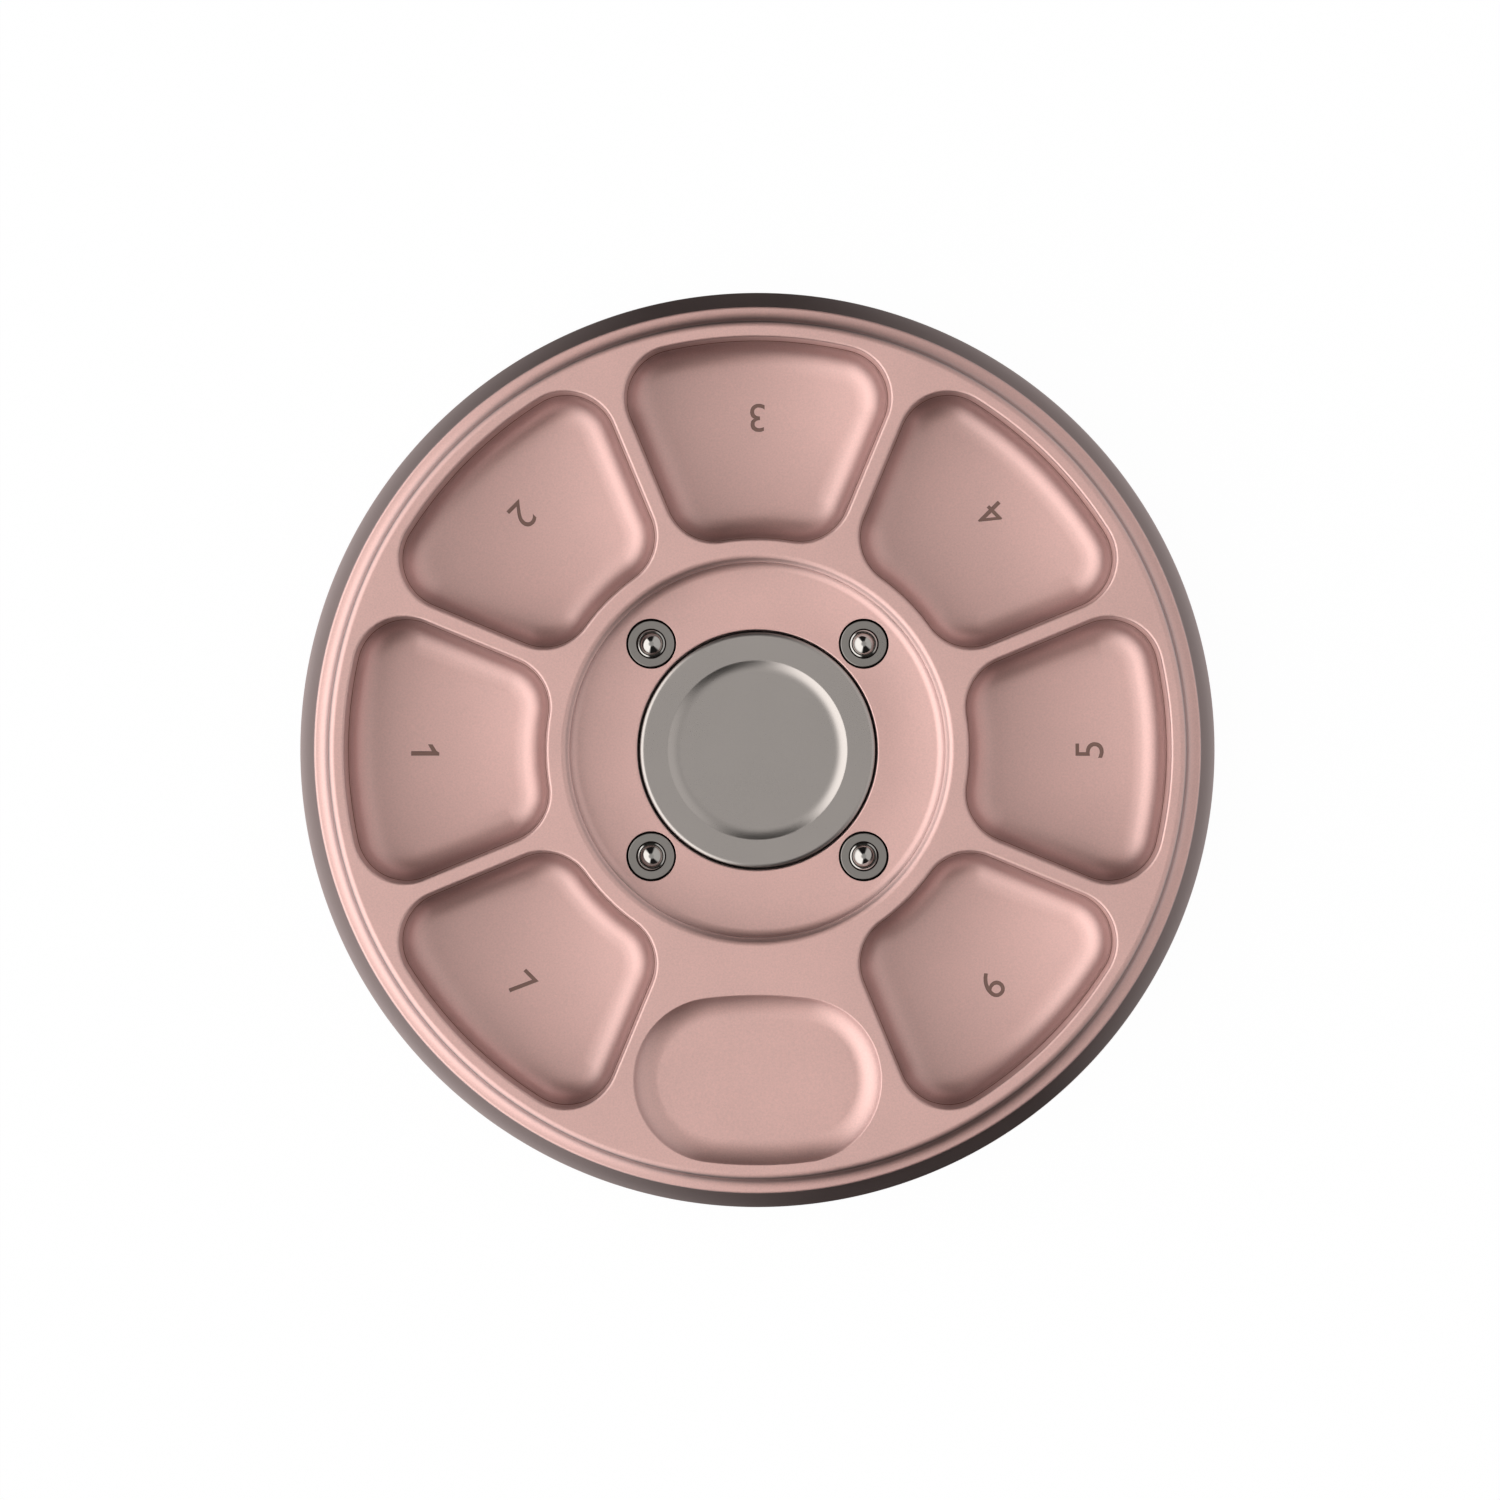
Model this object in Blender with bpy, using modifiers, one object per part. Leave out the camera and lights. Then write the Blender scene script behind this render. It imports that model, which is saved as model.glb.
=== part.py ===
"""A round seven-compartment pill tray with four sprung ball plungers.

Metres, +Z up. The tray stands on its foot ring at z = 0, with its own axis on Z. The sizes below run
outwards from the axis and upwards from the table, so each place follows from the pieces inside and below it.
"""

import math

import bmesh
import bpy
from mathutils import Vector

# Counts
STATIONS = 8
DAY_STATIONS = (4, 3, 2, 1, 0, 7, 5)
THUMB_STATION = 6
PLUNGER_STATIONS = (1, 3, 5, 7)

# Gaps between pieces
SEAT_GAP = 0.0003
FIT_GAP = 0.00005
OVERRUN = 0.0010
MERGE_DISTANCE = 0.00001

# Dished disc in the middle of the hub
CAP_RADIUS = 0.0142
CAP_THICKNESS = 0.0024
CAP_RING_WIDTH = 0.0033
CAP_EDGE_BEVEL = 0.0004
DISH_DEPTH = 0.0004
DISH_FILLET = 0.0034
CAP_SHELF_WIDTH = 0.0022
SPIGOT_WALL = 0.0022

# Ring magnet under the disc
MAGNET_THICKNESS = 0.0022
MAGNET_BEVEL = 0.0002

# Screw that holds the disc from below
SCREW_RADIUS = 0.0015
SCREW_HEAD_RADIUS = 0.00275
SCREW_HEAD_HEIGHT = 0.0013
SCREW_HEAD_BEVEL = 0.0002
SCREW_SOCKET_WIDTH = 0.0020
SCREW_SOCKET_DEPTH = 0.0008
SCREW_SUNK = 0.0003
SCREW_WEB = 0.0014

# Ball plungers
BALL_RADIUS = 0.0017
SLEEVE_WALL = 0.00104
SLEEVE_FLOOR = 0.0008
SLEEVE_BEVEL = 0.0001
LIP_THICKNESS = 0.00025
LIP_OVERLAP = 0.00008
LIP_FLARE = 0.0002
PLUNGER_RELIEF = 0.00021
PLUNGER_RELIEF_DEPTH = 0.0008
PLUNGER_WEB = 0.0016
PLUNGER_LAND = 0.0006
SPRING_WIRE = 0.0003
SPRING_SIDE_GAP = 0.0004
SPRING_TURNS = 3.5

# Hub recess in the middle of the tray
HUB_DEPTH = 0.0035
HUB_MARGIN = 0.00025
HUB_FLOOR_FILLET = 0.0014
HUB_EDGE_FILLET = 0.0009
HUB_LAND = 0.0015

# Compartments
POCKET_LENGTH = 0.0246
POCKET_CORNER = 0.0062
POCKET_DRAFT = 0.00038
POCKET_FILLET = 0.0034
RIB_THICKNESS = 0.0017
FLOOR_THICKNESS = 0.0011

# Thumb recess in the eighth place
THUMB_LENGTH = 0.0298
THUMB_WIDTH = 0.0204
THUMB_DEPTH = 0.0016
THUMB_FILLET = 0.0036

# Outside of the tray
RIM_LAND = 0.0010
RIM_EDGE_FILLET = 0.00085
RIM_STEP_DEPTH = 0.0026
RIM_STEP_FILLET = 0.00136
LEDGE_EDGE_FILLET = 0.0004
FLARE_WIDTH = 0.00204
SKIRT_EDGE_FILLET = 0.0008

# Foot ring and its groove
FOOT_PROUD = 0.0005
FOOT_GROOVE_DEPTH = 0.0010
FOOT_GROOVE_WIDTH = 0.0080
FOOT_INSET = 0.0074
FOOT_BEVEL = 0.0003

# Facets
TRAY_STEPS = 64
FOOT_STEPS = 64
CAP_STEPS = 36
PLUNGER_STEPS = 24
BALL_STEPS = 16
BALL_RINGS = 10
SPRING_POINTS_A_TURN = 9
FILLET_STEPS = 3
POCKET_FILLET_STEPS = 4
ARC_STEPS = 6
CORNER_STEPS = 5
SHARP_ANGLE = math.radians(30)
FILLET_LIMIT_SHARE = 0.95

# Heights, worked out upwards from the table
UNDERSIDE = FOOT_PROUD
SCREW_HEAD_BOTTOM = UNDERSIDE + SCREW_SUNK
SCREW_HEAD_TOP = SCREW_HEAD_BOTTOM + SCREW_HEAD_HEIGHT
SCREW_SEAT = SCREW_HEAD_TOP + SEAT_GAP
MAGNET_SEAT = SCREW_SEAT + SCREW_WEB
MAGNET_BOTTOM = MAGNET_SEAT + SEAT_GAP
CAP_SEAT = MAGNET_BOTTOM + MAGNET_THICKNESS
CAP_BOTTOM = CAP_SEAT + SEAT_GAP
HUB_FLOOR = CAP_BOTTOM + CAP_THICKNESS
TOP = HUB_FLOOR + HUB_DEPTH
GROOVE_TOP = UNDERSIDE + FOOT_GROOVE_DEPTH
POCKET_FLOOR = GROOVE_TOP + FLOOR_THICKNESS
PLUNGER_SEAT = UNDERSIDE + PLUNGER_WEB
SLEEVE_BOTTOM = PLUNGER_SEAT + SEAT_GAP

# Radii, worked out outwards from the axis
SPIGOT_BORE = SCREW_RADIUS + FIT_GAP
SPIGOT_RADIUS = SPIGOT_BORE + SPIGOT_WALL
SCREW_HOLE = SCREW_RADIUS + SEAT_GAP
SCREW_COUNTERBORE = SCREW_HEAD_RADIUS + SEAT_GAP
MAGNET_INNER = SPIGOT_RADIUS + SEAT_GAP
MAGNET_OUTER = CAP_RADIUS - CAP_SHELF_WIDTH
MAGNET_WELL = MAGNET_OUTER + SEAT_GAP
CAP_WELL = CAP_RADIUS + SEAT_GAP
DISH_RADIUS = CAP_RADIUS - CAP_RING_WIDTH
BORE_RADIUS = BALL_RADIUS + FIT_GAP
MOUTH_RADIUS = BALL_RADIUS - LIP_OVERLAP
SLEEVE_RADIUS = BORE_RADIUS + SLEEVE_WALL
PLUNGER_HOLE = SLEEVE_RADIUS + FIT_GAP
PLUNGER_RELIEF_RADIUS = SLEEVE_RADIUS + PLUNGER_RELIEF
PLUNGER_CIRCLE = CAP_WELL + PLUNGER_LAND + PLUNGER_RELIEF_RADIUS
HUB_WALL = PLUNGER_CIRCLE + PLUNGER_RELIEF_RADIUS + HUB_MARGIN + HUB_FLOOR_FILLET
POCKET_INNER = HUB_WALL + HUB_EDGE_FILLET + HUB_LAND
POCKET_OUTER = POCKET_INNER + POCKET_LENGTH
RIM_WALL = POCKET_OUTER + RIM_LAND + RIM_EDGE_FILLET
LEDGE_RADIUS = RIM_WALL + RIM_STEP_FILLET + LEDGE_EDGE_FILLET
SKIRT_RADIUS = LEDGE_RADIUS + FLARE_WIDTH
GROOVE_OUTER = SKIRT_RADIUS - FOOT_INSET
GROOVE_INNER = GROOVE_OUTER - FOOT_GROOVE_WIDTH


def clear_scene():
    for old in list(bpy.data.objects):
        bpy.data.objects.remove(old, do_unlink=True)


def new_collection(name):
    made = bpy.data.collections.new(name)
    bpy.context.scene.collection.children.link(made)
    return made


def new_material(name, colour, metallic, roughness):
    made = bpy.data.materials.new(name)
    made.use_nodes = True
    shader = made.node_tree.nodes["Principled BSDF"]
    shader.inputs["Base Color"].default_value = (*colour, 1)
    shader.inputs["Metallic"].default_value = metallic
    shader.inputs["Roughness"].default_value = roughness
    return made


def add_object(name, mesh, collection, material=None, location=(0, 0, 0), parent=None):
    obj = bpy.data.objects.new(name, mesh)
    collection.objects.link(obj)
    obj.location = location
    obj.parent = parent
    if material:
        mesh.materials.append(material)
    return obj


def arc(centre_r, centre_z, radius, start, end, steps=FILLET_STEPS):
    """Points of an arc in a profile, from one angle in degrees to another, both ends included."""
    points = []
    for i in range(steps + 1):
        angle = math.radians(start + (end - start) * i / steps)
        points.append((centre_r + radius * math.cos(angle), centre_z + radius * math.sin(angle)))
    return points


def turned_mesh(name, profile, steps, closed):
    """A profile of (radius, height) points turned round Z. It runs down on its outer side."""
    line = bpy.data.meshes.new(name + "_profile")
    edges = [(i, i + 1) for i in range(len(profile) - 1)]
    if closed:
        edges.append((len(profile) - 1, 0))
    line.from_pydata([(r, 0, z) for r, z in profile], edges, [])
    blank = bpy.data.objects.new(name + "_profile", line)
    bpy.context.scene.collection.objects.link(blank)
    screw = blank.modifiers.new("Turn", "SCREW")
    screw.axis = "Z"
    screw.steps = steps
    screw.render_steps = steps
    screw.use_merge_vertices = True
    screw.merge_threshold = MERGE_DISTANCE
    mesh = settled_mesh(blank)
    mesh.name = name
    bpy.data.objects.remove(blank, do_unlink=True)
    return mesh


def settled_mesh(obj):
    """The object's mesh with its modifiers carried out, smooth except at its sharp edges."""
    graph = bpy.context.evaluated_depsgraph_get()
    mesh = bpy.data.meshes.new_from_object(obj.evaluated_get(graph))
    mesh.shade_smooth()
    mesh.set_sharp_from_angle(angle=SHARP_ANGLE)
    return mesh


def lofted_mesh(name, rings):
    """A closed solid through rings of (x, y, z) points, each with as many points, from top to bottom."""
    bm = bmesh.new()
    rows = [[bm.verts.new(point) for point in ring] for ring in rings]
    for upper, lower in zip(rows, rows[1:]):
        for i in range(len(upper)):
            j = (i + 1) % len(upper)
            bm.faces.new((upper[i], lower[i], lower[j], upper[j]))
    bm.faces.new(rows[0])
    bm.faces.new(reversed(rows[-1]))
    bmesh.ops.recalc_face_normals(bm, faces=bm.faces)
    mesh = bpy.data.meshes.new(name)
    bm.to_mesh(mesh)
    bm.free()
    return mesh


def sweep(centre, radius, start, end, steps, last=False):
    """Points of an arc in plan. The end point is left to what follows unless it is the last."""
    points = []
    for i in range(steps + last):
        angle = start + (end - start) * i / steps
        points.append(centre + radius * Vector((math.cos(angle), math.sin(angle))))
    return points


def polar(radius, angle):
    return Vector((radius * math.cos(angle), radius * math.sin(angle)))


def pocket_outline(inset):
    """A compartment's plan about +X: two arcs round the tray's axis, two sides along the ribs, round corners."""
    side = math.pi / STATIONS
    corner = POCKET_CORNER - inset
    reach = POCKET_CORNER + RIB_THICKNESS / 2
    far = POCKET_OUTER - POCKET_CORNER
    near = POCKET_INNER + POCKET_CORNER
    far_angle = side - math.asin(reach / far)
    near_angle = side - math.asin(reach / near)
    across = side + math.pi / 2
    origin = Vector((0, 0))
    half = sweep(origin, POCKET_OUTER - inset, 0, far_angle, ARC_STEPS // 2)
    half += sweep(polar(far, far_angle), corner, far_angle, across, CORNER_STEPS, True)
    half += sweep(polar(near, near_angle), corner, across, near_angle + math.pi, CORNER_STEPS)
    half += sweep(origin, POCKET_INNER + inset, near_angle, 0, ARC_STEPS // 2, True)
    return mirrored(half)


def thumb_outline(inset):
    """The thumb recess's plan about +X: two long arcs that mirror each other, with round ends."""
    middle = POCKET_OUTER - THUMB_WIDTH / 2
    half_length = THUMB_LENGTH / 2
    end = (POCKET_OUTER**2 - middle**2 - half_length**2) / (2 * (POCKET_OUTER - half_length))
    centre = Vector((middle, half_length - end))
    meet = math.atan2(centre.y, centre.x)
    half = sweep(Vector((0, 0)), POCKET_OUTER - inset, 0, meet, ARC_STEPS // 2)
    half += sweep(centre, end - inset, meet, math.pi - meet, 2 * CORNER_STEPS)
    half += sweep(Vector((2 * middle, 0)), POCKET_OUTER - inset, math.pi - meet, math.pi, ARC_STEPS // 2, True)
    return mirrored(half)


def mirrored(half):
    """The whole outline from the half of it at +Y, whose first and last points lie on X."""
    return half + [Vector((point.x, -point.y)) for point in reversed(half[1:-1])]


def pocket_section():
    """(inset, height) down a compartment's wall: a slight lean, then a round foot to the floor."""
    fillet = min(POCKET_FILLET, FILLET_LIMIT_SHARE * (POCKET_CORNER - POCKET_DRAFT))
    fillet = min(fillet, FILLET_LIMIT_SHARE * (TOP - POCKET_FLOOR))
    foot = POCKET_FLOOR + fillet
    above = -POCKET_DRAFT * OVERRUN / (TOP - foot)
    section = [(above, TOP + OVERRUN)]
    for inset, height in arc(POCKET_DRAFT + fillet, foot, fillet, 180, 270, POCKET_FILLET_STEPS):
        section.append((inset, height))
    return section


def thumb_section():
    """(inset, height) down the thumb recess: a hollow side that ends level with the floor."""
    rise = math.degrees(math.acos(1 - min(THUMB_DEPTH, THUMB_FILLET) / THUMB_FILLET))
    width = THUMB_FILLET * math.sin(math.radians(rise))
    side = arc(width, TOP - THUMB_DEPTH + THUMB_FILLET, THUMB_FILLET, 270 - rise, 270, POCKET_FILLET_STEPS)
    (edge_inset, edge_height), (next_inset, next_height) = side[:2]
    lean = (edge_inset - next_inset) / (edge_height - next_height)
    return [(edge_inset + lean * OVERRUN, edge_height + OVERRUN)] + side[1:]


def cutter_mesh(name, outline, section, station):
    """A cutter whose outline shrinks down its section, turned to its station."""
    turn = 2 * math.pi * station / STATIONS
    rings = []
    for inset, height in section:
        ring = []
        for point in outline(inset):
            x = point.x * math.cos(turn) - point.y * math.sin(turn)
            y = point.x * math.sin(turn) + point.y * math.cos(turn)
            ring.append((x, y, height))
        rings.append(ring)
    return lofted_mesh(name, rings)


def tray_profile():
    """The tray's half section: up the hub, over the rim, down the skirt and back along the underside."""
    profile = [(SCREW_HOLE, MAGNET_SEAT), (MAGNET_WELL, MAGNET_SEAT), (MAGNET_WELL, CAP_SEAT)]
    profile += [(CAP_WELL, CAP_SEAT), (CAP_WELL, HUB_FLOOR)]
    foot_r = HUB_WALL - HUB_FLOOR_FILLET
    profile += arc(foot_r, HUB_FLOOR + HUB_FLOOR_FILLET, HUB_FLOOR_FILLET, 270, 360)
    edge_r = HUB_WALL + HUB_EDGE_FILLET
    profile += arc(edge_r, TOP - HUB_EDGE_FILLET, HUB_EDGE_FILLET, 180, 90)
    rim_r = RIM_WALL - RIM_EDGE_FILLET
    profile += arc(rim_r, TOP - RIM_EDGE_FILLET, RIM_EDGE_FILLET, 90, 0)
    ledge = TOP - RIM_STEP_DEPTH
    profile += arc(RIM_WALL + RIM_STEP_FILLET, ledge + RIM_STEP_FILLET, RIM_STEP_FILLET, 180, 270)
    ledge_r = LEDGE_RADIUS - LEDGE_EDGE_FILLET
    profile += arc(ledge_r, ledge - LEDGE_EDGE_FILLET, LEDGE_EDGE_FILLET, 90, flare_angle())[1:]
    skirt_r = SKIRT_RADIUS - SKIRT_EDGE_FILLET
    profile += arc(skirt_r, UNDERSIDE + SKIRT_EDGE_FILLET, SKIRT_EDGE_FILLET, flare_angle(), -90)
    profile += [(GROOVE_OUTER, UNDERSIDE), (GROOVE_OUTER, GROOVE_TOP)]
    profile += [(GROOVE_INNER, GROOVE_TOP), (GROOVE_INNER, UNDERSIDE)]
    profile += [(SCREW_COUNTERBORE, UNDERSIDE), (SCREW_COUNTERBORE, SCREW_SEAT), (SCREW_HOLE, SCREW_SEAT)]
    return profile


def flare_angle():
    """Degrees by which the skirt's face looks up, from its width and its height."""
    drop = TOP - RIM_STEP_DEPTH - LEDGE_EDGE_FILLET - UNDERSIDE - SKIRT_EDGE_FILLET
    return math.degrees(math.atan2(FLARE_WIDTH, drop))


def make_tray(parts, cutters, material):
    mesh = turned_mesh("tray_body", tray_profile(), TRAY_STEPS, True)
    tray = add_object("tray_body", mesh, parts, material)
    for station in DAY_STATIONS:
        name = f"compartment_cutter_{station}"
        cut(tray, add_object(name, cutter_mesh(name, pocket_outline, pocket_section(), station), cutters))
    name = "thumb_cutter"
    cut(tray, add_object(name, cutter_mesh(name, thumb_outline, thumb_section(), THUMB_STATION), cutters))
    hole = turned_mesh("plunger_hole_cutter", plunger_hole_profile(), PLUNGER_STEPS, False)
    for number, station in enumerate(PLUNGER_STATIONS, 1):
        name = f"plunger_hole_cutter_{number}"
        cut(tray, add_object(name, hole, cutters, location=plunger_place(station)))
    tray.data = settled_mesh(tray)
    tray.modifiers.clear()
    return tray


def cut(obj, cutter):
    """Takes a cutter out of an object. The cutter stays in the scene as a wire guide."""
    cutter.hide_render = True
    cutter.display_type = "WIRE"
    boolean = obj.modifiers.new(cutter.name, "BOOLEAN")
    boolean.operation = "DIFFERENCE"
    boolean.solver = "EXACT"
    boolean.object = cutter


def plunger_place(station):
    angle = 2 * math.pi * station / STATIONS
    return (PLUNGER_CIRCLE * math.cos(angle), PLUNGER_CIRCLE * math.sin(angle), 0)


def plunger_hole_profile():
    """A blind hole for a sleeve, with a wider mouth that leaves a dark ring round it."""
    relief = HUB_FLOOR - PLUNGER_RELIEF_DEPTH
    return [
        (0, HUB_FLOOR + OVERRUN),
        (PLUNGER_RELIEF_RADIUS, HUB_FLOOR + OVERRUN),
        (PLUNGER_RELIEF_RADIUS, relief),
        (PLUNGER_HOLE, relief),
        (PLUNGER_HOLE, PLUNGER_SEAT),
        (0, PLUNGER_SEAT),
    ]


def make_cap(parts, material):
    """The dished disc: a hollow with a round foot on top, a spigot with a blind bore below."""
    dish = HUB_FLOOR - DISH_DEPTH
    rise = math.degrees(math.acos(1 - min(DISH_DEPTH, DISH_FILLET) / DISH_FILLET))
    foot_r = DISH_RADIUS - DISH_FILLET * math.sin(math.radians(rise))
    profile = [(0, dish)]
    profile += arc(foot_r, dish + DISH_FILLET, DISH_FILLET, 270, 270 + rise)
    profile += [(CAP_RADIUS - CAP_EDGE_BEVEL, HUB_FLOOR), (CAP_RADIUS, HUB_FLOOR - CAP_EDGE_BEVEL)]
    profile += [(CAP_RADIUS, CAP_BOTTOM), (SPIGOT_RADIUS, CAP_BOTTOM)]
    profile += [(SPIGOT_RADIUS, MAGNET_BOTTOM), (SPIGOT_BORE, MAGNET_BOTTOM)]
    profile += [(SPIGOT_BORE, CAP_BOTTOM), (0, CAP_BOTTOM)]
    mesh = turned_mesh("centre_cap", profile, CAP_STEPS, False)
    return add_object("centre_cap", mesh, parts, material)


def make_magnet(parts, material):
    """The ring magnet between the disc and the tray, its edges broken."""
    top = MAGNET_BOTTOM + MAGNET_THICKNESS
    profile = [
        (MAGNET_INNER, top),
        (MAGNET_OUTER - MAGNET_BEVEL, top),
        (MAGNET_OUTER, top - MAGNET_BEVEL),
        (MAGNET_OUTER, MAGNET_BOTTOM + MAGNET_BEVEL),
        (MAGNET_OUTER - MAGNET_BEVEL, MAGNET_BOTTOM),
        (MAGNET_INNER, MAGNET_BOTTOM),
    ]
    mesh = turned_mesh("ring_magnet", profile, CAP_STEPS, True)
    return add_object("ring_magnet", mesh, parts, material)


def make_screw(parts, cutters, material):
    """A low-headed socket screw whose shank runs up into the spigot."""
    profile = [
        (0, CAP_BOTTOM - SEAT_GAP),
        (SCREW_RADIUS, CAP_BOTTOM - SEAT_GAP),
        (SCREW_RADIUS, SCREW_HEAD_TOP),
        (SCREW_HEAD_RADIUS, SCREW_HEAD_TOP),
        (SCREW_HEAD_RADIUS, SCREW_HEAD_BOTTOM + SCREW_HEAD_BEVEL),
        (SCREW_HEAD_RADIUS - SCREW_HEAD_BEVEL, SCREW_HEAD_BOTTOM),
        (0, SCREW_HEAD_BOTTOM),
    ]
    mesh = turned_mesh("cap_screw", profile, PLUNGER_STEPS, False)
    screw = add_object("cap_screw", mesh, parts, material)
    bm = bmesh.new()
    hexagon = 6
    radius = SCREW_SOCKET_WIDTH / 2 / math.cos(math.pi / hexagon)
    height = SCREW_SOCKET_DEPTH + OVERRUN
    bmesh.ops.create_cone(bm, cap_ends=True, segments=hexagon, radius1=radius, radius2=radius, depth=height)
    socket = bpy.data.meshes.new("socket_cutter")
    bm.to_mesh(socket)
    bm.free()
    middle = SCREW_HEAD_BOTTOM + SCREW_SOCKET_DEPTH - height / 2
    cut(screw, add_object("socket_cutter", socket, cutters, location=(0, 0, middle)))
    screw.data = settled_mesh(screw)
    screw.modifiers.clear()
    return screw


def make_foot_ring(parts, material):
    """The rubber ring that the case rests on, with round lower edges."""
    inner = GROOVE_INNER + SEAT_GAP
    outer = GROOVE_OUTER - SEAT_GAP
    top = GROOVE_TOP - SEAT_GAP
    profile = [(inner, top), (outer, top)]
    profile += arc(outer - FOOT_BEVEL, FOOT_BEVEL, FOOT_BEVEL, 0, -90, 2)
    profile += arc(inner + FOOT_BEVEL, FOOT_BEVEL, FOOT_BEVEL, -90, -180, 2)
    mesh = turned_mesh("foot_ring", profile, FOOT_STEPS, True)
    return add_object("foot_ring", mesh, parts, material)


def ball_centre_height():
    """The ball touches its sleeve's lip from below, but for the running gap."""
    below_lip = math.sqrt((BALL_RADIUS + FIT_GAP) ** 2 - MOUTH_RADIUS**2)
    return HUB_FLOOR - LIP_THICKNESS - below_lip


def sleeve_mesh():
    """A cup whose thin inward lip opens upwards, seen from the side with its bore up."""
    bore_floor = SLEEVE_BOTTOM + SLEEVE_FLOOR
    profile = [
        (0, bore_floor),
        (BORE_RADIUS, bore_floor),
        (BORE_RADIUS, HUB_FLOOR - LIP_THICKNESS),
        (MOUTH_RADIUS, HUB_FLOOR - LIP_THICKNESS),
        (MOUTH_RADIUS + LIP_FLARE, HUB_FLOOR),
        (SLEEVE_RADIUS - SLEEVE_BEVEL, HUB_FLOOR),
        (SLEEVE_RADIUS, HUB_FLOOR - SLEEVE_BEVEL),
        (SLEEVE_RADIUS, SLEEVE_BOTTOM),
        (0, SLEEVE_BOTTOM),
    ]
    return turned_mesh("plunger_sleeve", profile, PLUNGER_STEPS, False)


def ball_mesh():
    bm = bmesh.new()
    bmesh.ops.create_uvsphere(bm, u_segments=BALL_STEPS, v_segments=BALL_RINGS, radius=BALL_RADIUS)
    mesh = bpy.data.meshes.new("plunger_ball")
    bm.to_mesh(mesh)
    bm.free()
    mesh.shade_smooth()
    return mesh


def spring_points():
    """The spring's middle line, from the bore's floor up to where its last turn meets the ball."""
    coil = BORE_RADIUS - SPRING_SIDE_GAP - SPRING_WIRE / 2
    low = SLEEVE_BOTTOM + SLEEVE_FLOOR + FIT_GAP + SPRING_WIRE / 2
    clear = BALL_RADIUS + SPRING_WIRE / 2 + FIT_GAP
    high = ball_centre_height() - math.sqrt(clear**2 - coil**2)
    count = math.ceil(SPRING_TURNS * SPRING_POINTS_A_TURN)
    points = []
    for i in range(count + 1):
        share = i / count
        angle = 2 * math.pi * SPRING_TURNS * share
        points.append(Vector((coil * math.cos(angle), coil * math.sin(angle), low + (high - low) * share)))
    return points


def least_spring_gap(points):
    """The smallest clear distance between two stretches of wire that lie over half a turn apart."""
    apart = SPRING_POINTS_A_TURN // 2 + 1
    gaps = [
        (first - second).length - SPRING_WIRE
        for i, first in enumerate(points)
        for second in points[i + apart :]
    ]
    return min(gaps)


def spring_mesh():
    """One unbroken wire wound as a spring, welded at its capped ends."""
    points = spring_points()
    curve = bpy.data.curves.new("plunger_spring_wire", "CURVE")
    curve.dimensions = "3D"
    curve.bevel_depth = SPRING_WIRE / 2
    curve.bevel_resolution = 1
    curve.use_fill_caps = True
    spline = curve.splines.new("POLY")
    spline.points.add(len(points) - 1)
    for slot, point in zip(spline.points, points):
        slot.co = (*point, 1)
    wire = bpy.data.objects.new("plunger_spring_wire", curve)
    bpy.context.scene.collection.objects.link(wire)
    graph = bpy.context.evaluated_depsgraph_get()
    mesh = bpy.data.meshes.new_from_object(wire.evaluated_get(graph))
    bpy.data.objects.remove(wire, do_unlink=True)
    bm = bmesh.new()
    bm.from_mesh(mesh)
    bmesh.ops.remove_doubles(bm, verts=bm.verts, dist=MERGE_DISTANCE)
    bmesh.ops.recalc_face_normals(bm, faces=bm.faces)
    bm.to_mesh(mesh)
    bm.free()
    mesh.name = "plunger_spring"
    mesh.shade_smooth()
    print("least gap between the spring's turns, mm:", round(1000 * least_spring_gap(points), 3))
    return mesh


def make_plungers(parts, sleeve_finish, ball_finish, spring_finish):
    """Four plungers round the disc, each under an empty on its own axis."""
    sleeve, ball, spring = sleeve_mesh(), ball_mesh(), spring_mesh()
    sleeve.materials.append(sleeve_finish)
    ball.materials.append(ball_finish)
    spring.materials.append(spring_finish)
    for number, station in enumerate(PLUNGER_STATIONS, 1):
        axis = add_object(f"plunger_axis_{number}", None, parts, location=plunger_place(station))
        add_object(f"plunger_sleeve_{number}", sleeve, parts, parent=axis)
        add_object(f"plunger_spring_{number}", spring, parts, parent=axis)
        height = (0, 0, ball_centre_height())
        add_object(f"plunger_ball_{number}", ball, parts, location=height, parent=axis)


def main():
    clear_scene()
    parts = new_collection("pill_case")
    cutters = new_collection("cutters")
    rose = new_material("rose_anodised", (0.62, 0.41, 0.37), 1, 0.38)
    satin = new_material("satin_steel", (0.29, 0.265, 0.245), 1, 0.35)
    polished = new_material("polished_steel", (0.55, 0.53, 0.50), 1, 0.08)
    wire = new_material("spring_steel", (0.45, 0.45, 0.46), 1, 0.25)
    plated = new_material("nickel_plate", (0.60, 0.59, 0.56), 1, 0.2)
    black = new_material("black_steel", (0.03, 0.03, 0.03), 1, 0.35)
    rubber = new_material("grey_rubber", (0.06, 0.055, 0.055), 0, 0.75)
    make_tray(parts, cutters, rose)
    make_cap(parts, satin)
    make_magnet(parts, plated)
    make_screw(parts, cutters, black)
    make_foot_ring(parts, rubber)
    make_plungers(parts, satin, polished, wire)


main()
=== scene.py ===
"""Looks of the round pill tray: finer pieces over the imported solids, finishes, floor, light and camera.

Metres, +Z up. The photograph's right is +X and its top is +Y. The tray's axis is Z.
"""

import math

import bmesh
import bpy
import numpy as np
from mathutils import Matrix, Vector
from mathutils.geometry import delaunay_2d_cdt, tessellate_polygon


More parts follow.
